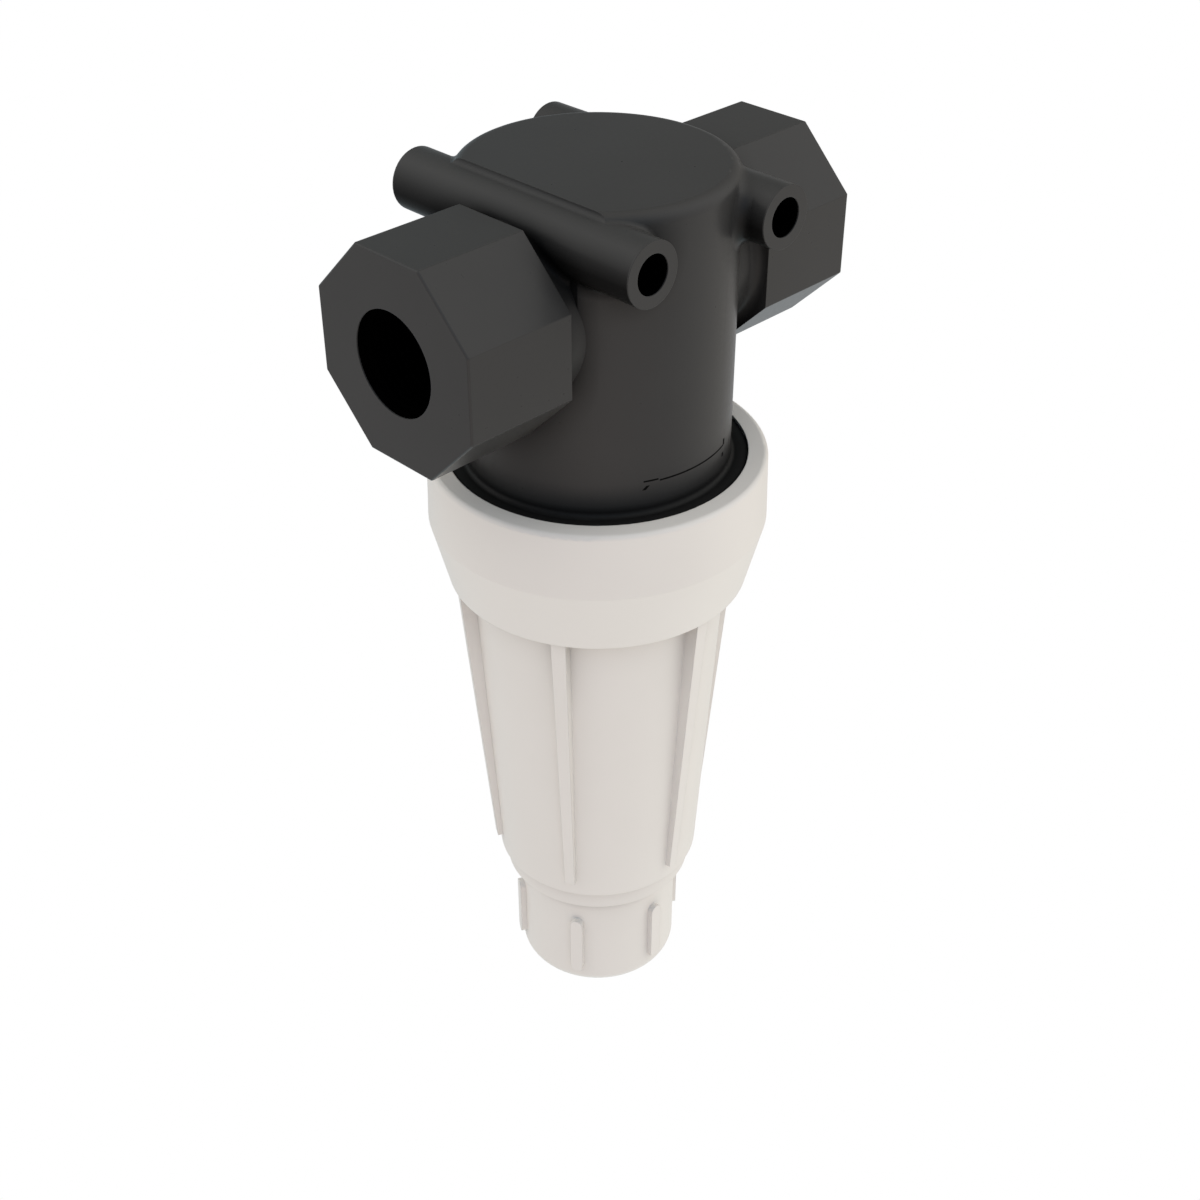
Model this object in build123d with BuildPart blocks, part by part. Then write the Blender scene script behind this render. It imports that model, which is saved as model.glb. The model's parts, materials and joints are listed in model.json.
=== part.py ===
from build123d import *
import math
import os

# Inline strainer: a moulded head with two ports, a ribbed bowl that screws up into it,
# a screen inside the bowl and a lugged cap on the drain neck.
# Millimetres. +Z is up and +X runs along the ports, from inlet to outlet.
# The origin is the centre of the flat base, on the bowl's axis.

# Heights stacked up from the base: neck, step ring, bowl wall, collar, then the port axis
neck_length = 27.3
step_ring_height = 6.2
bowl_wall_height = 92.0
collar_taper_height = 16.7
collar_wall_height = 16.9
port_rise = 43.4
gasket_seat_rise = 7.0
spigot_recess = 12.0

# Octagonal ports
octagon_flats = 48.0
octagon_length = 28.3
octagon_edge_round = 0.5
port_reach = 59.7
port_thread_radius = 12.03
port_thread_depth = 20.0
passage_radius = 11.0
neck_radius = 21.0
neck_flare = 2.5

# Round body of the head, its skirt and the passages inside
head_wall_past_tube = 4.1
head_rim_round = 3.0
inlet_flat_past_tube = 4.7
skirt_wall = 3.6
flange_recess = 0.6
flange_clearance = 0.3
flange_fillet = 1.2
chamber_window_width = 34.0
spigot_wall = 4.0

# Mounting tubes across the head
tube_spacing = 41.4
tube_rise = 19.3
tube_radius = 7.3
tube_reach = 36.7
tube_fillet = 2.5
tube_cover = 1.5
tube_fillet_margin = 0.1
bolt_hole_radius = 4.5

# Screw threads, drawn at their mean radius
bowl_thread_step = 4.3
bowl_thread_length = 12.0
neck_thread_radius = 18.9
neck_thread_length = 9.0
thread_clearance = 0.05
thread_chamfer = 0.8
neck_relief = 1.0

# Bowl
collar_top_wall = 4.8
collar_break_wall = 5.3
collar_foot_wall = 1.2
collar_edge_round = 1.2
gasket_ledge = 7.2
bowl_floor_radius = 27.3
bowl_wall = 3.2
bowl_edge_chamfer = 0.8
step_ring_radius = 25.5
step_ring_chamfer = 0.8
drain_radius = 14.5

# Grip ribs outside the bowl
grip_rib_count = 6
grip_rib_top_height = 3.8
grip_rib_foot_height = 1.4
grip_rib_top_width = 3.75
grip_rib_foot_width = 2.8
grip_rib_foot_rise = 5.7
grip_rib_root = 1.0
grip_rib_sink = 0.5

# Ribs on the bowl's floor that carry and centre the screen
seat_rib_count = 6
seat_rib_width = 2.0
seat_rib_height = 6.0
seat_rib_lip = 4.0
seat_clearance = 0.3

# Drain cap
cap_radius = 21.8
cap_floor = 3.5
cap_mouth_gap = 0.8
cap_edge_round = 3.1
cap_lug_count = 6
cap_lug_reach = 23.3
cap_lug_width = 3.55
cap_lug_length = 19.8
cap_lug_rise = 15.3
cap_lug_root = 0.5

# Seals
bowl_gasket_thickness = 2.5
bowl_gasket_margin = 0.6
cap_gasket_thickness = 2.5
cap_gasket_margin = 0.4
screen_seal_thickness = 2.0

# Screen
socket_depth = 14.0
socket_wall = 3.4
socket_clearance = 0.05
screen_frame_radius = 18.0
screen_frame_wall = 2.0
screen_end_thickness = 4.0
screen_strut_count = 6
screen_strut_width = 3.2
screen_bay_count = 4
screen_band_height = 2.5
mesh_thickness = 0.4
mesh_clearance = 0.05

# Levels worked out from the sizes above
neck_foot = cap_floor + cap_gasket_thickness
step_ring_foot = neck_foot + neck_length
bowl_floor = step_ring_foot + step_ring_height
collar_foot = bowl_floor + bowl_wall_height
collar_break = collar_foot + collar_taper_height
collar_top = collar_break + collar_wall_height
port_height = collar_top + port_rise
tube_height = port_height + tube_rise
head_top = tube_height + tube_radius + tube_cover
inlet_tube_fillet = tube_cover - tube_fillet_margin
gasket_seat = collar_foot + gasket_seat_rise
head_foot = gasket_seat + bowl_gasket_thickness
spigot_foot = gasket_seat + spigot_recess
flange_top = collar_top - flange_recess
chamber_roof = port_height - passage_radius - spigot_wall
bowl_inner_floor = bowl_floor + bowl_wall
cap_mouth = step_ring_foot - cap_mouth_gap

# Radii and reaches worked out from the sizes above
tube_offset = tube_spacing / 2
head_radius = tube_offset + tube_radius + head_wall_past_tube
skirt_bore_radius = head_radius - skirt_wall
spigot_radius = passage_radius + spigot_wall
bowl_thread_radius = head_radius + bowl_thread_step
collar_bore_radius = bowl_thread_radius + thread_clearance
flange_radius = collar_bore_radius - flange_clearance
collar_top_radius = collar_bore_radius + collar_top_wall
collar_break_radius = collar_bore_radius + collar_break_wall
collar_foot_radius = collar_bore_radius + collar_foot_wall
bowl_mouth_radius = collar_bore_radius - gasket_ledge
bowl_shoulder_radius = bowl_mouth_radius + bowl_wall
bowl_foot_bore_radius = bowl_floor_radius - bowl_wall
bowl_slope = (bowl_shoulder_radius - bowl_floor_radius) / (collar_foot - bowl_floor)
cap_bore_radius = neck_thread_radius + thread_clearance
octagon_corner_radius = octagon_flats / 2 / math.cos(math.pi / 8)
octagon_inner = port_reach - octagon_length
neck_reach = port_reach - octagon_length / 2
inlet_flat_reach = tube_offset + inlet_flat_past_tube

# Each end of a grip rib as its level, how far it stands out from the wall and its width
grip_rib_ends = (
    (collar_foot + grip_rib_sink, grip_rib_top_height, grip_rib_top_width),
    (bowl_floor + grip_rib_foot_rise, grip_rib_foot_height, grip_rib_foot_width),
)

# Screen levels and radii, stacked down from the spigot and up from the bowl's floor
screen_shoulder = spigot_foot - screen_seal_thickness
socket_radius = spigot_radius + socket_clearance
screen_head_radius = socket_radius + socket_wall
screen_head_foot = screen_shoulder - screen_end_thickness
screen_foot = bowl_inner_floor + seat_rib_height
screen_plate_top = screen_foot + screen_end_thickness
screen_frame_bore = screen_frame_radius - screen_frame_wall
screen_bay_pitch = (screen_head_foot - screen_plate_top) / screen_bay_count
mesh_bore_radius = screen_frame_radius + mesh_clearance

# How near an edge must lie to a face to count as on it
edge_tolerance = 0.05


def bowl_radius_at(level):
    """Outside radius of the bowl's tapering wall at a height."""
    return bowl_floor_radius + bowl_slope * (level - bowl_floor)


def joins_tube(edge, side):
    """True for an edge where the mounting tube on one side meets the rest of the head."""
    middle = edge @ 0.5
    from_tube_axis = math.hypot(middle.X - side * tube_offset, middle.Z - tube_height)
    on_tube = abs(from_tube_axis - tube_radius) < edge_tolerance
    on_end = abs(abs(middle.Y) - tube_reach) < edge_tolerance
    is_seam = edge.geom_type == GeomType.LINE and abs(middle.Z - tube_height) < edge_tolerance
    return on_tube and not on_end and not is_seam


def rings(sub_part, radius):
    """Circular edges of a sub-part that have a given radius."""
    circles = sub_part.edges().filter_by(GeomType.CIRCLE)
    return circles.filter_by(lambda edge: abs(edge.radius - radius) < edge_tolerance)


# Head: round body, ports, necks and mounting tubes in one moulding
with BuildPart() as head:
    with BuildSketch(Plane.XY.offset(head_foot)):
        Circle(head_radius)
    extrude(amount=head_top - head_foot)
    fillet(head.edges().group_by(Axis.Z)[-1], head_rim_round)

    # The inlet side is cut back to a flat wall, with a step along the tube above it
    with BuildSketch(Plane.XZ.offset(-head_radius)):
        with BuildLine():
            Polyline(
                (-head_radius, port_height),
                (-inlet_flat_reach, port_height),
                (-inlet_flat_reach, tube_height),
                (-tube_offset, tube_height),
                (-tube_offset, head_top),
                (-head_radius, head_top),
                close=True,
            )
        make_face()
    extrude(amount=2 * head_radius, mode=Mode.SUBTRACT)

    with BuildSketch(Plane.XZ.offset(-tube_reach)):
        with Locations((-tube_offset, tube_height), (tube_offset, tube_height)):
            Circle(tube_radius)
    extrude(amount=2 * tube_reach)
    with BuildSketch(Plane.YZ.offset(-neck_reach)):
        with Locations((0, port_height)):
            Circle(neck_radius)
    extrude(amount=2 * neck_reach)
    fillet(head.edges().filter_by(lambda edge: joins_tube(edge, -1)), inlet_tube_fillet)
    fillet(head.edges().filter_by(lambda edge: joins_tube(edge, 1)), tube_fillet)

    # Octagons are added after the tube fillets, so those stay clear of their inner faces
    for start in (-port_reach, octagon_inner):
        with BuildSketch(Plane.YZ.offset(start)) as octagon:
            with Locations((0, port_height)):
                RegularPolygon(octagon_corner_radius, 8, rotation=22.5)
            fillet(octagon.vertices(), octagon_edge_round)
        extrude(amount=octagon_length)

    # Necks flare into the octagons' inner faces
    for side in (-1, 1):
        with BuildSketch(Plane.XZ):
            with BuildLine():
                flare = RadiusArc(
                    (side * (octagon_inner - neck_flare), port_height + neck_radius),
                    (side * octagon_inner, port_height + neck_radius + neck_flare),
                    -side * neck_flare,
                )
                Polyline(
                    flare @ 1,
                    (side * octagon_inner, port_height),
                    (side * (octagon_inner - neck_flare), port_height),
                    flare @ 0,
                )
            make_face()
        revolve(axis=Axis((0, 0, port_height), (1, 0, 0)))

    end_faces = head.faces().filter_by(Axis.X).group_by(Axis.X)
    fillet(end_faces[0].edges() + end_faces[-1].edges(), octagon_edge_round)

    # Flange that fills the collar's mouth and flares into the skirt, with the thread below it
    with BuildSketch(Plane.XY.offset(head_foot)):
        Circle(flange_radius)
    extrude(amount=flange_top - head_foot)
    fillet(rings(head, head_radius).sort_by(Axis.Z)[0], flange_fillet)
    with BuildSketch(Plane.XY.offset(head_foot)):
        Circle(bowl_thread_radius)
    extrude(amount=bowl_thread_length)
    chamfer(rings(head, bowl_thread_radius).sort_by(Axis.Z)[0], thread_chamfer)

    # Skirt bore, then the ring chamber that is left round the central spigot
    with BuildSketch(Plane.XY.offset(head_foot)):
        Circle(skirt_bore_radius)
    extrude(amount=spigot_foot - head_foot, mode=Mode.SUBTRACT)
    with BuildSketch(Plane.XY.offset(spigot_foot)):
        Circle(skirt_bore_radius)
        Circle(spigot_radius, mode=Mode.SUBTRACT)
    extrude(amount=chamber_roof - spigot_foot, mode=Mode.SUBTRACT)

    # Window from the inlet down into the ring chamber
    with BuildSketch(Plane.XY.offset(chamber_roof)):
        Circle(skirt_bore_radius)
        Circle(spigot_radius, mode=Mode.SUBTRACT)
        Rectangle(
            skirt_bore_radius,
            chamber_window_width,
            align=(Align.MAX, Align.CENTER),
            mode=Mode.INTERSECT,
        )
    extrude(amount=port_height - chamber_roof, mode=Mode.SUBTRACT)

    # Inlet passage stops at the spigot; the outlet passage turns down into it
    with BuildSketch(Plane.YZ.offset(-port_reach)):
        with Locations((0, port_height)):
            Circle(passage_radius)
    extrude(amount=port_reach - spigot_radius, mode=Mode.SUBTRACT)
    with BuildSketch(Plane.YZ):
        with Locations((0, port_height)):
            Circle(passage_radius)
    extrude(amount=port_reach, mode=Mode.SUBTRACT)
    with Locations((0, 0, port_height)):
        Sphere(passage_radius, mode=Mode.SUBTRACT)
    with BuildSketch(Plane.XY.offset(spigot_foot)):
        Circle(passage_radius)
    extrude(amount=port_height - spigot_foot, mode=Mode.SUBTRACT)

    # Threaded bores of the ports and the bolt holes through the tubes
    for start in (-port_reach, port_reach - port_thread_depth):
        with BuildSketch(Plane.YZ.offset(start)):
            with Locations((0, port_height)):
                Circle(port_thread_radius)
        extrude(amount=port_thread_depth, mode=Mode.SUBTRACT)
    with BuildSketch(Plane.XZ.offset(-tube_reach)):
        with Locations((-tube_offset, tube_height), (tube_offset, tube_height)):
            Circle(bolt_hole_radius)
    extrude(amount=2 * tube_reach, mode=Mode.SUBTRACT)

# Bowl: collar, tapering wall, step ring and drain neck turned from one profile
with BuildPart() as bowl:
    with BuildSketch(Plane.XZ):
        with BuildLine():
            Polyline(
                (collar_bore_radius, collar_top),
                (collar_top_radius, collar_top),
                (collar_break_radius, collar_break),
                (collar_foot_radius, collar_foot),
                (bowl_shoulder_radius, collar_foot),
                (bowl_floor_radius, bowl_floor),
                (step_ring_radius, bowl_floor),
                (step_ring_radius, step_ring_foot),
                (neck_thread_radius - neck_relief, step_ring_foot),
                (neck_thread_radius - neck_relief, neck_foot + neck_thread_length),
                (neck_thread_radius, neck_foot + neck_thread_length),
                (neck_thread_radius, neck_foot),
                (drain_radius, neck_foot),
                (drain_radius, bowl_inner_floor),
                (bowl_foot_bore_radius, bowl_inner_floor),
                (bowl_mouth_radius, collar_foot),
                (bowl_mouth_radius, gasket_seat),
                (collar_bore_radius, gasket_seat),
                close=True,
            )
        make_face()
    revolve(axis=Axis.Z)

    fillet(rings(bowl, collar_top_radius), collar_edge_round)
    chamfer(rings(bowl, bowl_floor_radius), bowl_edge_chamfer)
    chamfer(rings(bowl, step_ring_radius).sort_by(Axis.Z)[0], step_ring_chamfer)

    # Grip ribs taper with the wall, in width and in height, up into the collar's underside
    for turn in range(grip_rib_count):
        rib_frame = Plane.XY.rotated((0, 0, 30 + turn * 360 / grip_rib_count))
        for level, height, width in grip_rib_ends:
            with BuildSketch(rib_frame.offset(level)):
                Rectangle(
                    bowl_radius_at(level) + height,
                    width,
                    align=(Align.MIN, Align.CENTER),
                )
                Circle(bowl_radius_at(level) - grip_rib_root, mode=Mode.SUBTRACT)
        loft()

    # Seat ribs on the floor carry the screen and stand up round it to centre it
    for turn in range(seat_rib_count):
        with BuildSketch(Plane.XZ.rotated((0, 0, turn * 360 / seat_rib_count))):
            with BuildLine():
                Polyline(
                    (drain_radius, bowl_inner_floor),
                    (bowl_foot_bore_radius + seat_rib_width / 2, bowl_inner_floor),
                    (bowl_foot_bore_radius + seat_rib_width / 2, screen_foot + seat_rib_lip),
                    (screen_head_radius + seat_clearance, screen_foot + seat_rib_lip),
                    (screen_head_radius + seat_clearance, screen_foot),
                    (drain_radius, screen_foot),
                    close=True,
                )
            make_face()
        extrude(amount=seat_rib_width / 2, both=True)

# Drain cap: cup with a rounded foot and lugs round its lower half
with BuildPart() as cap:
    with BuildSketch():
        Circle(cap_radius)
    extrude(amount=cap_mouth)
    fillet(cap.edges().group_by(Axis.Z)[0], cap_edge_round)
    with BuildSketch(Plane.XY.offset(cap_floor)):
        Circle(cap_bore_radius)
    extrude(amount=cap_mouth - cap_floor, mode=Mode.SUBTRACT)
    chamfer(rings(cap, cap_bore_radius).sort_by(Axis.Z)[-1], thread_chamfer)
    for turn in range(cap_lug_count):
        lug_frame = Plane.YZ.rotated((0, 0, 30 + turn * 360 / cap_lug_count))
        with BuildSketch(lug_frame.offset(cap_bore_radius + cap_lug_root)):
            with Locations((0, cap_lug_rise)):
                SlotOverall(cap_lug_length, cap_lug_width, rotation=90)
        extrude(amount=cap_lug_reach - cap_bore_radius - cap_lug_root)

# Seals
with BuildPart() as bowl_gasket:
    with BuildSketch(Plane.XY.offset(gasket_seat)):
        Circle(collar_bore_radius - bowl_gasket_margin)
        Circle(bowl_mouth_radius, mode=Mode.SUBTRACT)
    extrude(amount=bowl_gasket_thickness)

with BuildPart() as cap_gasket:
    with BuildSketch(Plane.XY.offset(cap_floor)):
        Circle(cap_bore_radius - cap_gasket_margin)
        Circle(drain_radius, mode=Mode.SUBTRACT)
    extrude(amount=cap_gasket_thickness)

with BuildPart() as screen_seal:
    with BuildSketch(Plane.XY.offset(screen_shoulder)):
        Circle(spigot_radius)
        Circle(passage_radius, mode=Mode.SUBTRACT)
    extrude(amount=screen_seal_thickness)

# Screen frame: socket for the spigot, a cage of struts and bands, and a closed foot
with BuildPart() as screen_frame:
    with BuildSketch(Plane.XY.offset(screen_foot)):
        Circle(screen_head_radius)
    extrude(amount=screen_end_thickness)
    with BuildSketch(Plane.XY.offset(screen_plate_top)):
        Circle(screen_frame_radius)
        Circle(screen_frame_bore, mode=Mode.SUBTRACT)
    extrude(amount=screen_head_foot - screen_plate_top)
    with BuildSketch(Plane.XY.offset(screen_head_foot)):
        Circle(screen_head_radius)
        Circle(passage_radius, mode=Mode.SUBTRACT)
    extrude(amount=screen_end_thickness)
    with BuildSketch(Plane.XY.offset(screen_shoulder)):
        Circle(screen_head_radius)
        Circle(socket_radius, mode=Mode.SUBTRACT)
    extrude(amount=screen_seal_thickness + socket_depth)

    # Windows between the struts, one ring of them in each bay
    window_height = screen_bay_pitch - screen_band_height
    window_width = 2 * math.pi * screen_frame_radius / screen_strut_count - screen_strut_width
    for bay in range(screen_bay_count):
        bay_middle = screen_plate_top + (bay + 0.5) * screen_bay_pitch
        for turn in range(screen_strut_count):
            window_frame = Plane.YZ.rotated((0, 0, turn * 360 / screen_strut_count))
            with BuildSketch(window_frame.offset(screen_frame_bore / 2)):
                with Locations((0, bay_middle)):
                    Rectangle(window_width, window_height)
            extrude(amount=screen_frame_radius, mode=Mode.SUBTRACT)

with BuildPart() as screen_mesh:
    with BuildSketch(Plane.XY.offset(screen_plate_top)):
        Circle(mesh_bore_radius + mesh_thickness)
        Circle(mesh_bore_radius, mode=Mode.SUBTRACT)
    extrude(amount=screen_head_foot - screen_plate_top)

sub_parts = {
    "head": head,
    "bowl": bowl,
    "drain_cap": cap,
    "bowl_gasket": bowl_gasket,
    "cap_gasket": cap_gasket,
    "screen_seal": screen_seal,
    "screen_frame": screen_frame,
    "screen_mesh": screen_mesh,
}
os.makedirs("parts", exist_ok=True)
for name, sub_part in sub_parts.items():
    sub_part.part.label = name
    export_step(sub_part.part, f"parts/{name}.step")
    print(name, len(sub_part.part.solids()), round(sub_part.part.volume), sub_part.part.is_valid)
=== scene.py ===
import json
import math

import bmesh
import bpy
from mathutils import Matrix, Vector


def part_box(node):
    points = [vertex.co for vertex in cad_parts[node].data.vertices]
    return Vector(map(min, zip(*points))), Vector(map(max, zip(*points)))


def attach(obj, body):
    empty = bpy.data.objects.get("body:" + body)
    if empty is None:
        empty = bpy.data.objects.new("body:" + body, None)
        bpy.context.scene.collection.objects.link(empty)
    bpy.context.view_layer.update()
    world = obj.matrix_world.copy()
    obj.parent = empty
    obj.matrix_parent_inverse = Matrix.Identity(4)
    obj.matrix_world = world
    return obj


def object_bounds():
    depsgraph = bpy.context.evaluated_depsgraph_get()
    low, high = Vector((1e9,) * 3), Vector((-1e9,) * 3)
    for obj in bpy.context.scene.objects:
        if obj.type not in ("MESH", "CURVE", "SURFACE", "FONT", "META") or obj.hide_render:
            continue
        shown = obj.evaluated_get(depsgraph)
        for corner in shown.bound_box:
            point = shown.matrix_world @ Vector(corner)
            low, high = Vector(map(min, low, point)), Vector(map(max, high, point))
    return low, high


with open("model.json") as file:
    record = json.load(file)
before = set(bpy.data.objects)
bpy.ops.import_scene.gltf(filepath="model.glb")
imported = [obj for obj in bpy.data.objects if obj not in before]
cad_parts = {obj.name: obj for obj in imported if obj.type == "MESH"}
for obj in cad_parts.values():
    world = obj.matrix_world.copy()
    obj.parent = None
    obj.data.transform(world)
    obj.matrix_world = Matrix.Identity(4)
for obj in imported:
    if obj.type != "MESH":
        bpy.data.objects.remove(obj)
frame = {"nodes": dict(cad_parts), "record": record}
cad_low, cad_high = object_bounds()
MM = 0.001
BLACK = (0.0, 0.0, 0.0)
WHITE = (1.0, 1.0, 1.0)

# Places read from the frame
MOUNTS = {mount["name"]: mount for mount in frame["record"]["mounts"]}
PORT = MOUNTS["outlet_port"]
PORT_HEIGHT = PORT["pos_m"][2]
PORT_RADIUS = PORT["dims"]["r_mm"] * MM
PORT_THREAD_DEPTH = PORT["dims"]["length_mm"] * MM
BOLTS = MOUNTS["mounting_holes"]
BOLT_HEIGHT = BOLTS["pos_m"][2]
BOLT_OFFSET = BOLTS["dims"]["spacing_x_mm"] * MM / 2
BOLT_RADIUS = BOLTS["dims"]["hole_r_mm"] * MM
PORT_REACH, BOLT_REACH, HEAD_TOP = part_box("head")[1]
COLLAR_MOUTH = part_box("bowl")[1].z
CAP_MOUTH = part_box("drain_cap")[1].z

# Camera: an even three-quarter view from the inlet side, above the ports
CAMERA_PLACE = (-0.2545, -0.2554, PORT_HEIGHT + 0.1654)
CAMERA_TURN = math.radians(-45.0)
CAMERA_DIP = math.radians(35.264)
CAMERA_LENS = 51.48
CAMERA_FILM = 36.0
CAMERA_NEAR = 10 * MM

# Studio light as soft lobes: the direction that each comes from, and its colour times its level.
# The two strongest stand high to the right and the left of the camera. The five from below are
# what a pale floor sends up, most of it from the camera's side.
STUDIO_LOBES = (
    ((1, -1, 1), (2.32, 2.28, 2.2)),
    ((-1, 1, 1), (2.3, 2.22, 2.12)),
    ((-1, -1, 1), (0.2, 0.45, 0.75)),
    ((0, 0, 1), (0.8, 0.72, 0.6)),
    ((1, 0, 0), (0.3, 0.27, 0.22)),
    ((0, 1, 0), (0.2, 0.36, 0.42)),
    ((-1, -1, -1), (2.05, 1.72, 1.5)),
    ((1, -1, -1), (1.08, 1.02, 0.95)),
    ((1, 1, -1), (0.66, 0.66, 0.7)),
    ((-1, 1, -1), (0.6, 0.52, 0.5)),
    ((0, 0, -1), (0.7, 1.1, 1.2)),
)
LOBE_SHARPNESS = 4.0
STUDIO_LEVEL = 0.8

# Floor: low enough for the bowl and the cap to come down over it, unscrewed
FLOOR_DROP = 60 * MM
FLOOR_HALF_WIDTH = 2.0

# Port thread: its section from the ridge's middle, along the port and out from the bore's wall
THREAD_PITCH = 1.814 * MM
THREAD_HEIGHT = 0.75 * MM
THREAD_ROOT = 0.1 * MM
THREAD_FOOT_HALF = 0.46 * THREAD_PITCH
THREAD_CREST_HALF = 0.06 * THREAD_PITCH
THREAD_SECTION = (
    (-THREAD_FOOT_HALF, THREAD_ROOT),
    (-THREAD_CREST_HALF, -THREAD_HEIGHT),
    (THREAD_CREST_HALF, -THREAD_HEIGHT),
    (THREAD_FOOT_HALF, THREAD_ROOT),
)
THREAD_MARGIN = 1.5 * MM
THREAD_TURNS = (PORT_THREAD_DEPTH - 2 * THREAD_MARGIN) / THREAD_PITCH
THREAD_TURN_STEPS = 72

# Witness line on the front of the skirt: the section of its fine bars, out from the head's axis
# and across the bar, and how many times wider the upright ones are
SKIRT_RADIUS = 32.1 * MM
LINE_HALF_WIDTH = 0.19 * MM
LINE_STAND = 0.02 * MM
LINE_ROOT = 0.2 * MM
LINE_SECTION = (
    (SKIRT_RADIUS - LINE_ROOT, -LINE_HALF_WIDTH),
    (SKIRT_RADIUS + LINE_STAND, -LINE_HALF_WIDTH),
    (SKIRT_RADIUS + LINE_STAND, LINE_HALF_WIDTH),
    (SKIRT_RADIUS - LINE_ROOT, LINE_HALF_WIDTH),
)
UPRIGHT_WIDENING = 2.2

# Bars of the witness line, each between two places: an angle in degrees round the skirt, and a
# height from the ports' axis
WITNESS_HEIGHT = -36.0 * MM
WITNESS_LINES = (
    ((-116.0, WITNESS_HEIGHT + 0.4 * MM), (-109.5, WITNESS_HEIGHT + 0.4 * MM)),
    ((-108.8, WITNESS_HEIGHT), (-68.6, WITNESS_HEIGHT)),
    ((-68.6, WITNESS_HEIGHT), (-68.6, WITNESS_HEIGHT + 1.6 * MM)),
    ((-69.5, WITNESS_HEIGHT - 2.9 * MM), (-69.5, WITNESS_HEIGHT - 1.9 * MM)),
    ((-115.8, WITNESS_HEIGHT - 1.8 * MM), (-114.1, WITNESS_HEIGHT - 0.8 * MM)),
)

# Moulded plastic: faint mottling in the colour, speckle in the roughness and a fine mould grain.
# The scale of a noise counts its waves per metre.
PLASTIC_IOR = 1.49
MOTTLE_SCALE = 45.0
MOTTLE_DETAIL = 4.0
SPECKLE_SCALE = 900.0
SPECKLE_DETAIL = 2.0
SPECKLE_ROUGHNESS = 0.05
GRAIN_SCALE = 2600.0
GRAIN_DETAIL = 2.0
GRAIN_HEIGHT = 0.04 * MM
EDGE_SAMPLES = 6

# Black plastic of the head
HEAD_DARK = (0.0385, 0.038, 0.0375)
HEAD_LIGHT = (0.0435, 0.043, 0.0425)
HEAD_ROUGHNESS = 0.3
HEAD_GRAIN = 0.02
HEAD_EDGE_RADIUS = 0.2 * MM
HEAD_SHINE = 0.126

# Insides of the ports and bolt holes, painted black as shade: a margin round the bore's wall and
# short of its mouth. The same black is also the witness line's own colour.
BORE_MARGIN = 0.3 * MM
PAINTED_SHADE_AND_LINE_BLACK = (0.0004, 0.0004, 0.0004)

# Off-white plastic of the bowl, the drain cap and the screen's frame
BOWL_DARK = (0.72, 0.688, 0.65)
BOWL_LIGHT = (0.75, 0.718, 0.68)
BOWL_ROUGHNESS = 0.45
BOWL_GRAIN = 0.06
BOWL_EDGE_RADIUS = 0.35 * MM

# Rubber of the gaskets and the screen's seal
RUBBER_BLACK = (0.02, 0.02, 0.02)
RUBBER_DARK = (0.012, 0.012, 0.012)
RUBBER_DUSTY = (0.03, 0.03, 0.029)
RUBBER_ROUGHNESS = 0.8
RUBBER_ROUGHNESS_SPREAD = 0.1
RUBBER_SHINE = 0.2
DUST_SCALE = 300.0
DUST_DETAIL = 5.0
DUST_HEIGHT = 0.1 * MM
DUST_RELIEF = 0.2

# Black of the witness line
LINE_WORN = (0.004, 0.004, 0.004)
LINE_ROUGHNESS = 0.8
LINE_SHINE = 0.05
WEAR_SCALE = 600.0
WEAR_DETAIL = 3.0

# Steel mesh of the screen, with about 0.63 mm from wire to wire. Its colour has painted shade in
# the gaps between the wires and painted light on their crests.
STEEL_GREY = (0.4, 0.4, 0.4)
STEEL_GAP_SHADE = (0.08, 0.08, 0.08)
STEEL_CREST_LIGHT = (0.6, 0.6, 0.6)
STEEL_ROUGHNESS = 0.35
WIRE_SCALE = 500.0
WIRE_HEIGHT = 0.2 * MM
WIRE_RELIEF = 0.6

# Painted shade in the head's recesses, which darkens its colour and shine: how far off another
# surface gives shade, and the power that the openness is raised to. It grows below the collar's
# mouth and shrinks to a share on the head's top.
SHADE_SAMPLES = 8
RECESS_REACH = 9 * MM
RECESS_FALL = 1.2
MOUTH_LOW = COLLAR_MOUTH - 0.3 * MM
MOUTH_HIGH = COLLAR_MOUTH + 2.2 * MM
MOUTH_FALL = 3.2
TOP_FALL_SHARE = 0.3

# Painted shade on the bolt tubes' flanks and undersides, darkening the head's colour and shine:
# how far it reaches on the head beside them, the share of light that it leaves, and the levels from
# their axis below which it is full and above which there is none
TUBE_RADIUS = 7.3 * MM
TUBE_SHADE_REACH = 2.7 * MM
TUBE_LIGHT_LEFT = 0.22
TUBE_DARK_LEVEL = -0.15 * TUBE_RADIUS
TUBE_LIGHT_LEVEL = 0.8 * TUBE_RADIUS

# Painted shade on the bowl and the cap, darkening their colour, as the power of the openness:
# under the collar, on the step ring, at the gap over the cap, and everywhere else
CREASE_REACH = 14 * MM
CREASE_FALL = 0.05
COLLAR_HEIGHT = 33.6 * MM
COLLAR_FOOT = COLLAR_MOUTH - COLLAR_HEIGHT
COLLAR_SHADE_DROP = 28 * MM
COLLAR_SHADE_FALL = 0.55
STEP_RING_TOP = CAP_MOUTH + 6.6 * MM
STEP_RING_FALL = 0.5
CAP_GAP_LEVEL = CAP_MOUTH - 1.0 * MM
CAP_GAP_REACH = 3.0 * MM
CAP_GAP_FALL = 2.0

# Sockets of the Mix node when it mixes colours
MIX_SHARE = 0
MIX_FIRST = 6
MIX_SECOND = 7
MIX_RESULT = 2


def empty_tree(owner):
    """Node tree of a material or of the world, switched on and emptied."""
    owner.use_nodes = True
    owner.node_tree.nodes.clear()
    return owner.node_tree


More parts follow.
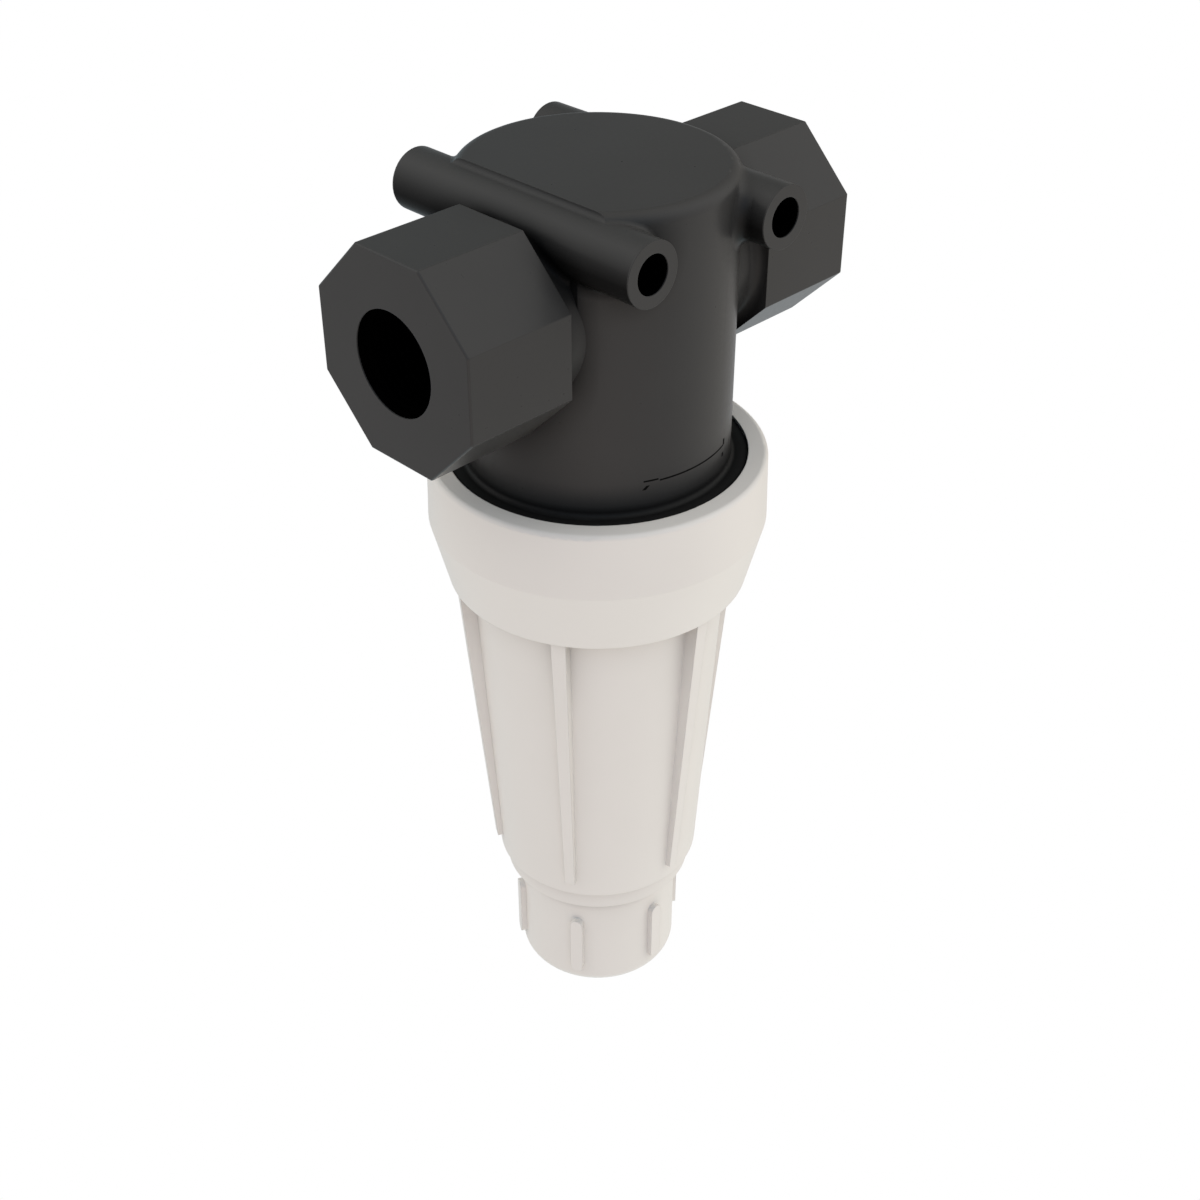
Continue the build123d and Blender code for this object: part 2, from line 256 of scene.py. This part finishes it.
def feed(tree, value, socket):
    """Gives a socket its value: a number, a colour or the output of another node."""
    if isinstance(value, bpy.types.NodeSocket):
        tree.links.new(value, socket)
    else:
        socket.default_value = value


def opaque(colour):
    """Colour with its alpha."""
    return (*colour, 1.0)


def show(tree, output_type, surface):
    """Links a finished surface to an output node."""
    output = tree.nodes.new(output_type)
    tree.links.new(surface, output.inputs["Surface"])


def object_coordinates(tree):
    """Place on a piece, which stays with it when it moves."""
    return tree.nodes.new("ShaderNodeTexCoord").outputs["Object"]


def along_across_height(tree, place):
    """How far a place lies along the ports, along the bolt tubes and up."""
    split = tree.nodes.new("ShaderNodeSeparateXYZ")
    tree.links.new(place, split.inputs["Vector"])
    return split.outputs


def noise(tree, place, scale, detail):
    """Noise from nought to one."""
    texture = tree.nodes.new("ShaderNodeTexNoise")
    texture.inputs["Scale"].default_value = scale
    texture.inputs["Detail"].default_value = detail
    tree.links.new(place, texture.inputs["Vector"])
    return texture.outputs["Fac"]


def maths(tree, operation, *values):
    """Outcome of one operation on one or two values, each a number or a socket."""
    node = tree.nodes.new("ShaderNodeMath")
    node.operation = operation
    for value, socket in zip(values, node.inputs):
        feed(tree, value, socket)
    return node.outputs["Value"]


def chain(tree, operation, first, *others):
    """Outcome of an operation that takes several values in, one after the other."""
    for value in others:
        first = maths(tree, operation, first, value)
    return first


def ramp(tree, value, low, high, start=0.0, end=1.0):
    """Value mapped from start..end to low..high, and held at its ends."""
    mapped = tree.nodes.new("ShaderNodeMapRange")
    mapped.inputs["From Min"].default_value = start
    mapped.inputs["From Max"].default_value = end
    mapped.inputs["To Min"].default_value = low
    mapped.inputs["To Max"].default_value = high
    tree.links.new(value, mapped.inputs["Value"])
    return mapped.outputs["Result"]


def tint(tree, share, first, second):
    """Colour between two by the share of the second; each is a colour or a socket."""
    mix = tree.nodes.new("ShaderNodeMix")
    mix.data_type = "RGBA"
    tree.links.new(share, mix.inputs[MIX_SHARE])
    for colour, socket in ((first, mix.inputs[MIX_FIRST]), (second, mix.inputs[MIX_SECOND])):
        feed(tree, opaque(colour) if isinstance(colour, tuple) else colour, socket)
    return mix.outputs[MIX_RESULT]


def relief(tree, height, distance, strength, under=None):
    """Normal of a surface raised by a height, on top of another normal if one is given."""
    bump = tree.nodes.new("ShaderNodeBump")
    bump.inputs["Distance"].default_value = distance
    bump.inputs["Strength"].default_value = strength
    tree.links.new(height, bump.inputs["Height"])
    if under is not None:
        tree.links.new(under, bump.inputs["Normal"])
    return bump.outputs["Normal"]


def softened_edges(tree, radius):
    """Normal that rounds hard edges as a mould does."""
    bevel = tree.nodes.new("ShaderNodeBevel")
    bevel.samples = EDGE_SAMPLES
    bevel.inputs["Radius"].default_value = radius
    return bevel.outputs["Normal"]


def openness(tree, reach):
    """One on an open surface, less where other surfaces stand within reach."""
    occlusion = tree.nodes.new("ShaderNodeAmbientOcclusion")
    occlusion.samples = SHADE_SAMPLES
    occlusion.inputs["Distance"].default_value = reach
    return occlusion.outputs["AO"]


def seen_directly(tree):
    """One for a ray that the camera sends, also through something clear. The plastic's shine sees
    the studio's lights instead, since the world is what lights the object."""
    path = tree.nodes.new("ShaderNodeLightPath")
    return maths(
        tree, "MAXIMUM", path.outputs["Is Camera Ray"], path.outputs["Is Transmission Ray"]
    )


def from_axis(tree, sideways, upwards):
    """Distance from an axis that runs across both directions."""
    squares = [maths(tree, "POWER", value, 2.0) for value in (sideways, upwards)]
    return maths(tree, "SQRT", maths(tree, "ADD", *squares))


def from_bolt_axis(tree, along, height):
    """How far a place lies sideways and upwards of the axis of the bolt tube on its side."""
    sideways = maths(tree, "SUBTRACT", maths(tree, "ABSOLUTE", along), BOLT_OFFSET)
    upwards = maths(tree, "SUBTRACT", height, BOLT_HEIGHT)
    return sideways, upwards


def within(tree, distance, reach):
    """One where a distance to either side is less than the reach, nought past it."""
    return maths(tree, "LESS_THAN", maths(tree, "ABSOLUTE", distance), reach)


def inside_round(tree, sideways, upwards, depth, radius, reach):
    """One inside a round hole through the head, nought elsewhere."""
    distance = from_axis(tree, sideways, upwards)
    near_axis = maths(tree, "LESS_THAN", distance, radius + BORE_MARGIN)
    return maths(tree, "MULTIPLY", near_axis, within(tree, depth, reach - BORE_MARGIN))


def inside_bores(tree, place):
    """One inside the ports and the bolt holes, where hardly any light gets in, and so the colour is
    painted black as shade.
    """
    along, across, height = along_across_height(tree, place)
    over_ports = maths(tree, "SUBTRACT", height, PORT_HEIGHT)
    in_port = inside_round(tree, across, over_ports, along, PORT_RADIUS, PORT_REACH)
    sideways, upwards = from_bolt_axis(tree, along, height)
    in_bolt_hole = inside_round(tree, sideways, upwards, across, BOLT_RADIUS, BOLT_REACH)
    return maths(tree, "MAXIMUM", in_port, in_bolt_hole)


def recess_light(tree, place):
    """Share of light left on the head, for painting shade into its colour and shine: less in
    recesses, least inside the collar.
    """
    height = along_across_height(tree, place)["Z"]
    fall = ramp(tree, height, MOUTH_FALL, RECESS_FALL, MOUTH_LOW, MOUTH_HIGH)
    top_share = ramp(tree, height, 1.0, TOP_FALL_SHARE, BOLT_HEIGHT, HEAD_TOP)
    fall = maths(tree, "MULTIPLY", fall, top_share)
    return maths(tree, "POWER", openness(tree, RECESS_REACH), fall)


def tube_light(tree, place):
    """Share of light left by the bolt tubes, for painting shade into the head's colour and shine:
    less on their flanks and undersides.
    """
    along, across, height = along_across_height(tree, place)
    sideways, upwards = from_bolt_axis(tree, along, height)
    from_tube = from_axis(tree, sideways, upwards)
    beside = ramp(tree, from_tube, 1.0, 0.0, TUBE_RADIUS, TUBE_RADIUS + TUBE_SHADE_REACH)
    on_length = within(tree, across, BOLT_REACH - BORE_MARGIN)
    loss = ramp(tree, upwards, 1.0 - TUBE_LIGHT_LEFT, 0.0, TUBE_DARK_LEVEL, TUBE_LIGHT_LEVEL)
    return maths(tree, "SUBTRACT", 1.0, chain(tree, "MULTIPLY", beside, on_length, loss))


def crease_light(tree, place):
    """Share of light left on the bowl and the cap, for painting shade into their colour: less under
    the collar, on the step ring and at the gap over the cap."""
    height = along_across_height(tree, place)["Z"]
    drop = ramp(
        tree, height, 0.0, COLLAR_SHADE_FALL, COLLAR_FOOT - COLLAR_SHADE_DROP, COLLAR_FOOT
    )
    under_collar = maths(tree, "MULTIPLY", drop, maths(tree, "LESS_THAN", height, COLLAR_FOOT))
    over_cap = maths(tree, "GREATER_THAN", height, CAP_MOUTH)
    below_wall = maths(tree, "LESS_THAN", height, STEP_RING_TOP)
    on_ring = chain(tree, "MULTIPLY", over_cap, below_wall, STEP_RING_FALL)
    from_gap = maths(tree, "ABSOLUTE", maths(tree, "SUBTRACT", height, CAP_GAP_LEVEL))
    at_gap = ramp(tree, from_gap, CAP_GAP_FALL, 0.0, 0.0, CAP_GAP_REACH)
    fall = chain(tree, "MAXIMUM", on_ring, at_gap, under_collar, CREASE_FALL)
    return maths(tree, "POWER", openness(tree, CREASE_REACH), fall)


def new_material(name):
    """Empty node material with its main shader."""
    material = bpy.data.materials.new(name)
    tree = empty_tree(material)
    shader = tree.nodes.new("ShaderNodeBsdfPrincipled")
    show(tree, "ShaderNodeOutputMaterial", shader.outputs["BSDF"])
    return material, tree, shader


def moulded_plastic(name, dark, light, roughness, grain, edge_radius):
    """Plastic with faint flow mottling, a fine mould grain and softened edges. Its colour comes
    back unlinked, for the painted shade that each plastic adds to it."""
    material, tree, shader = new_material(name)
    place = object_coordinates(tree)
    colour = tint(tree, noise(tree, place, MOTTLE_SCALE, MOTTLE_DETAIL), dark, light)
    shader.inputs["Base Color"].default_value = opaque(dark)
    shader.inputs["Roughness"].default_value = roughness
    shader.inputs["IOR"].default_value = PLASTIC_IOR
    speckle = noise(tree, place, SPECKLE_SCALE, SPECKLE_DETAIL)
    smoothest = roughness - SPECKLE_ROUGHNESS
    roughest = roughness + SPECKLE_ROUGHNESS
    tree.links.new(ramp(tree, speckle, smoothest, roughest), shader.inputs["Roughness"])
    fine = noise(tree, place, GRAIN_SCALE, GRAIN_DETAIL)
    edges = softened_edges(tree, edge_radius)
    tree.links.new(relief(tree, fine, GRAIN_HEIGHT, grain, edges), shader.inputs["Normal"])
    return material, tree, shader, place, colour


def black_head_plastic():
    """Black plastic with painted shade: black inside the ports and bolt holes, darker in recesses
    and on the bolt tubes' flanks and undersides, with less shine there.
    """
    material, tree, shader, place, colour = moulded_plastic(
        "head_plastic", HEAD_DARK, HEAD_LIGHT, HEAD_ROUGHNESS, HEAD_GRAIN, HEAD_EDGE_RADIUS
    )
    inside = inside_bores(tree, place)
    light_left = maths(tree, "MULTIPLY", recess_light(tree, place), tube_light(tree, place))
    # Painted shade: the colour turns black inside the bores and darkens where less light is left
    colour = tint(tree, inside, colour, PAINTED_SHADE_AND_LINE_BLACK)
    colour = tint(tree, light_left, PAINTED_SHADE_AND_LINE_BLACK, colour)
    tree.links.new(colour, shader.inputs["Base Color"])
    # Painted shade on the shine too: none inside the bores, less where less light is left
    shine = maths(tree, "MULTIPLY", ramp(tree, inside, HEAD_SHINE, 0.0), light_left)
    shader.inputs["Specular IOR Level"].default_value = HEAD_SHINE
    tree.links.new(shine, shader.inputs["Specular IOR Level"])
    return material


def off_white_bowl_plastic():
    """Off-white plastic with painted shade, darker in creases, under the collar and over the cap.
    """
    material, tree, shader, place, colour = moulded_plastic(
        "bowl_plastic", BOWL_DARK, BOWL_LIGHT, BOWL_ROUGHNESS, BOWL_GRAIN, BOWL_EDGE_RADIUS
    )
    # Painted shade: the colour darkens towards black where less light is left
    colour = tint(tree, crease_light(tree, place), BLACK, colour)
    tree.links.new(colour, shader.inputs["Base Color"])
    return material


def dusty_rubber():
    """Matte black rubber with a dusty grain."""
    material, tree, shader = new_material("seal_rubber")
    dust = noise(tree, object_coordinates(tree), DUST_SCALE, DUST_DETAIL)
    shader.inputs["Base Color"].default_value = opaque(RUBBER_BLACK)
    shader.inputs["Roughness"].default_value = RUBBER_ROUGHNESS
    shader.inputs["Specular IOR Level"].default_value = RUBBER_SHINE
    tree.links.new(tint(tree, dust, RUBBER_DARK, RUBBER_DUSTY), shader.inputs["Base Color"])
    smoothest = RUBBER_ROUGHNESS - RUBBER_ROUGHNESS_SPREAD
    roughest = RUBBER_ROUGHNESS + RUBBER_ROUGHNESS_SPREAD
    tree.links.new(ramp(tree, dust, smoothest, roughest), shader.inputs["Roughness"])
    tree.links.new(relief(tree, dust, DUST_HEIGHT, DUST_RELIEF), shader.inputs["Normal"])
    return material


def fine_line_black():
    """Black of a fine line, with hardly any shine."""
    material, tree, shader = new_material("line_black")
    wear = noise(tree, object_coordinates(tree), WEAR_SCALE, WEAR_DETAIL)
    shader.inputs["Base Color"].default_value = opaque(PAINTED_SHADE_AND_LINE_BLACK)
    shader.inputs["Roughness"].default_value = LINE_ROUGHNESS
    shader.inputs["Specular IOR Level"].default_value = LINE_SHINE
    tree.links.new(tint(tree, wear, PAINTED_SHADE_AND_LINE_BLACK, LINE_WORN), shader.inputs["Base Color"])
    return material


def woven_wire():
    """Stainless mesh: two crossing sets of wires as relief, and as colour with painted shade
    between the wires and painted light on their crests.
    """
    material, tree, shader = new_material("mesh_steel")
    place = object_coordinates(tree)
    heights = []
    for direction in ("X", "Z"):
        wires = tree.nodes.new("ShaderNodeTexWave")
        wires.wave_type = "BANDS"
        wires.bands_direction = direction
        wires.inputs["Scale"].default_value = WIRE_SCALE
        tree.links.new(place, wires.inputs["Vector"])
        heights.append(wires.outputs["Fac"])
    weave = maths(tree, "MAXIMUM", *heights)
    shader.inputs["Base Color"].default_value = opaque(STEEL_GREY)
    shader.inputs["Metallic"].default_value = 1.0
    shader.inputs["Roughness"].default_value = STEEL_ROUGHNESS
    # Painted shade in the gaps between the wires and painted light on their crests
    tree.links.new(tint(tree, weave, STEEL_GAP_SHADE, STEEL_CREST_LIGHT), shader.inputs["Base Color"])
    tree.links.new(relief(tree, weave, WIRE_HEIGHT, WIRE_RELIEF), shader.inputs["Normal"])
    return material


def dress(node, material):
    """Gives every material slot of a CAD node one material."""
    for slot in frame["nodes"][node].material_slots:
        slot.material = material


def new_piece(name, mesh, material, body):
    """Object at the origin that rides on a body, with the material on its mesh."""
    piece = bpy.data.objects.new(name, mesh)
    bpy.context.scene.collection.objects.link(piece)
    mesh.materials.append(material)
    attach(piece, body)


def sweep(shape, corners, centre, axis, turn, rise, steps):
    """Closed bar: a section turned about an axis and moved along it in even steps."""
    section = shape.faces.new([shape.verts.new(corner) for corner in corners])
    step_rise = Vector(axis) * rise / steps
    bmesh.ops.spin(
        shape, geom=[section], cent=centre, axis=axis, angle=turn, dvec=step_rise, steps=steps
    )


def closed_mesh(name, shape):
    """Mesh of a finished bmesh, with its faces turned outwards."""
    bmesh.ops.recalc_face_normals(shape, faces=shape.faces)
    mesh = bpy.data.meshes.new(name)
    shape.to_mesh(mesh)
    shape.free()
    return mesh


def port_thread(side):
    """Helical ridge inside one port, the inlet at side -1 or the outlet at side 1. It sinks into
    the bore's wall over its end turns."""
    shape = bmesh.new()
    mouth = PORT_REACH - THREAD_MARGIN
    corners = [
        (side * (mouth + offset), PORT_RADIUS + rise, PORT_HEIGHT)
        for offset, rise in THREAD_SECTION
    ]
    centre = Vector((0.0, 0.0, PORT_HEIGHT))
    steps = int(THREAD_TURNS * THREAD_TURN_STEPS)
    turns = steps / THREAD_TURN_STEPS
    sweep(shape, corners, centre, (side, 0, 0), math.tau * turns, -turns * THREAD_PITCH, steps)
    for corner in shape.verts:
        turns_in = (mouth - side * corner.co.x) / THREAD_PITCH
        share = max(0.0, min(1.0, turns_in, turns - turns_in))
        height = PORT_RADIUS - (corner.co - centre).yz.length
        if height > 0:
            sunk = (PORT_RADIUS - share * height) / (PORT_RADIUS - height)
            corner.co.y *= sunk
            corner.co.z = PORT_HEIGHT + (corner.co.z - PORT_HEIGHT) * sunk
    return closed_mesh("port_thread", shape)


def skirt_line(shape, start, end):
    """Fine raised bar on the skirt between two places, each an angle and a height above the
    ports."""
    turn = math.radians(end[0] - start[0])
    rise = end[1] - start[1]
    upright = abs(rise) > abs(turn) * SKIRT_RADIUS
    corners = []
    for radius, offset in LINE_SECTION:
        spread = UPRIGHT_WIDENING * offset / SKIRT_RADIUS if upright else 0.0
        angle = math.radians(start[0]) + spread
        height = PORT_HEIGHT + start[1] + (0.0 if upright else offset)
        corners.append((radius * math.cos(angle), radius * math.sin(angle), height))
    steps = max(1, round(abs(end[0] - start[0])))
    sweep(shape, corners, (0, 0, 0), (0, 0, 1), turn, rise, steps)


def skirt_mark():
    """Moulder's witness line on the front of the skirt: one long line with short ends."""
    shape = bmesh.new()
    for start, end in WITNESS_LINES:
        skirt_line(shape, start, end)
    return closed_mesh("skirt_mark", shape)


def mixed(tree, share, first, second):
    """Surface between two by the share of the second."""
    mix = tree.nodes.new("ShaderNodeMixShader")
    for socket, value in zip(mix.inputs, (share, first, second)):
        tree.links.new(value, socket)
    return mix.outputs["Shader"]


def pale_floor():
    """White to the camera from above. The studio's light from below passes it, and so do views
    from underneath."""
    material = bpy.data.materials.new("pale_floor")
    tree = empty_tree(material)
    passed = tree.nodes.new("ShaderNodeBsdfTransparent")
    white = tree.nodes.new("ShaderNodeEmission")
    white.inputs["Color"].default_value = opaque(WHITE)
    white.inputs["Strength"].default_value = 1.0
    from_below = tree.nodes.new("ShaderNodeNewGeometry").outputs["Backfacing"]
    from_above = maths(tree, "SUBTRACT", 1.0, from_below)
    shown = maths(tree, "MULTIPLY", seen_directly(tree), from_above)
    surface = mixed(tree, shown, passed.outputs["BSDF"], white.outputs["Emission"])
    show(tree, "ShaderNodeOutputMaterial", surface)
    return material


def add_floor():
    """Flat floor under the object."""
    shape = bmesh.new()
    bmesh.ops.create_grid(shape, x_segments=1, y_segments=1, size=FLOOR_HALF_WIDTH)
    bmesh.ops.translate(shape, verts=shape.verts, vec=(0, 0, cad_low.z - FLOOR_DROP))
    mesh = bpy.data.meshes.new("floor")
    shape.to_mesh(mesh)
    shape.free()
    mesh.materials.append(pale_floor())
    floor = bpy.data.objects.new("floor", mesh)
    bpy.context.scene.collection.objects.link(floor)


def add_camera():
    """Camera at the photograph's viewing angle."""
    data = bpy.data.cameras.new("camera")
    camera = bpy.data.objects.new("camera", data)
    bpy.context.scene.collection.objects.link(camera)
    bpy.context.scene.camera = camera
    data.lens = CAMERA_LENS
    data.sensor_width = CAMERA_FILM
    data.clip_start = CAMERA_NEAR
    camera.location = CAMERA_PLACE
    camera.rotation_euler = (math.pi / 2 - CAMERA_DIP, 0.0, CAMERA_TURN)


def with_lobe(tree, light, direction, place, colour):
    """Light with one lobe more, which is brightest from its own place and dark from behind it."""
    facing = tree.nodes.new("ShaderNodeVectorMath")
    facing.operation = "DOT_PRODUCT"
    tree.links.new(direction, facing.inputs[0])
    facing.inputs[1].default_value = Vector(place).normalized()
    ahead = maths(tree, "MAXIMUM", facing.outputs["Value"], 0.0)
    lobe = tree.nodes.new("ShaderNodeVectorMath")
    lobe.operation = "MULTIPLY_ADD"
    lobe.inputs[0].default_value = colour
    tree.links.new(maths(tree, "POWER", ahead, LOBE_SHARPNESS), lobe.inputs[1])
    feed(tree, light, lobe.inputs[2])
    return lobe.outputs["Vector"]


def background(tree, colour, strength):
    """Light that comes from far away, in one colour or in the colours of a socket."""
    glow = tree.nodes.new("ShaderNodeBackground")
    feed(tree, colour, glow.inputs["Color"])
    glow.inputs["Strength"].default_value = strength
    return glow.outputs["Background"]


def add_world():
    """White to the camera; to everything else a studio of soft lobes of light."""
    world = bpy.data.worlds.new("studio")
    bpy.context.scene.world = world
    tree = empty_tree(world)
    direction = tree.nodes.new("ShaderNodeTexCoord").outputs["Generated"]
    light = BLACK
    for place, colour in STUDIO_LOBES:
        light = with_lobe(tree, light, direction, place, colour)
    studio = background(tree, light, STUDIO_LEVEL)
    white = background(tree, opaque(WHITE), 1.0)
    show(tree, "ShaderNodeOutputWorld", mixed(tree, seen_directly(tree), studio, white))


head_plastic = black_head_plastic()
bowl_plastic = off_white_bowl_plastic()
seal_rubber = dusty_rubber()
line_black = fine_line_black()
mesh_steel = woven_wire()

dress("head", head_plastic)
for moulding in ("bowl", "drain_cap", "screen_frame"):
    dress(moulding, bowl_plastic)
dress("screen_mesh", mesh_steel)
for seal in ("bowl_gasket", "cap_gasket", "screen_seal"):
    dress(seal, seal_rubber)

for side, name in ((-1, "inlet_thread"), (1, "outlet_thread")):
    new_piece(name, port_thread(side), head_plastic, "head")
new_piece("skirt_mark", skirt_mark(), line_black, "head")

add_floor()
add_camera()
add_world()
bpy.context.scene.view_settings.view_transform = "Standard"
